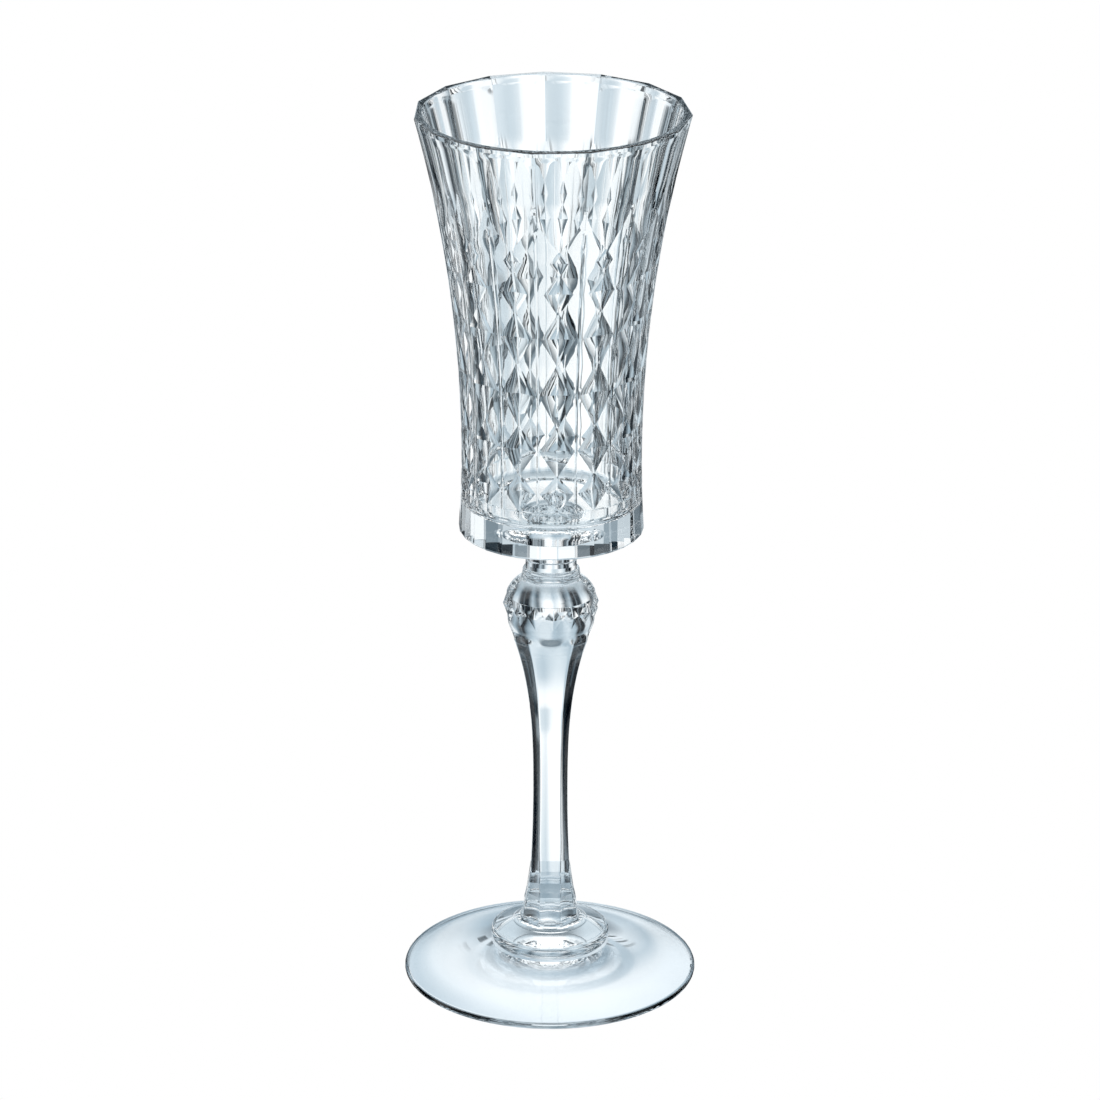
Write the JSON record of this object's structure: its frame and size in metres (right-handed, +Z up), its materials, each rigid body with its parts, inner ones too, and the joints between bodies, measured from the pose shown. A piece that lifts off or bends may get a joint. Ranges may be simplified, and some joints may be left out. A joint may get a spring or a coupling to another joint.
{
  "type": "champagne flute",
  "caption": "Tall pressed crystal champagne flute with a flared diamond-cut bowl, ringed neck, cut knop, faceted stem and round foot.",
  "frame": {"origin": "centre of the resting ring under the foot, on the surface the flute stands on", "axes": "+Z up along the glass's axis from foot to rim, -Y towards the viewer, +X to the viewer's right"},
  "size_m": [0.073, 0.073, 0.225],
  "materials": {
    "foot_glass": "polished, thin and nearly colourless",
    "foot_collar_glass": "polished, thick",
    "stem_glass": "polished, eight pressed facets",
    "knop_glass": "polished, with a band of pressed diamonds",
    "neck_glass": "polished",
    "bowl_glass": "polished, with sunk diamonds and flutes"
  },
  "bodies": {
    "root": {"foot": "foot_glass", "foot_collar": "foot_collar_glass", "stem": "stem_glass", "knop": "knop_glass", "neck": "neck_glass", "bowl": "bowl_glass"}
  },
  "joints": []
}
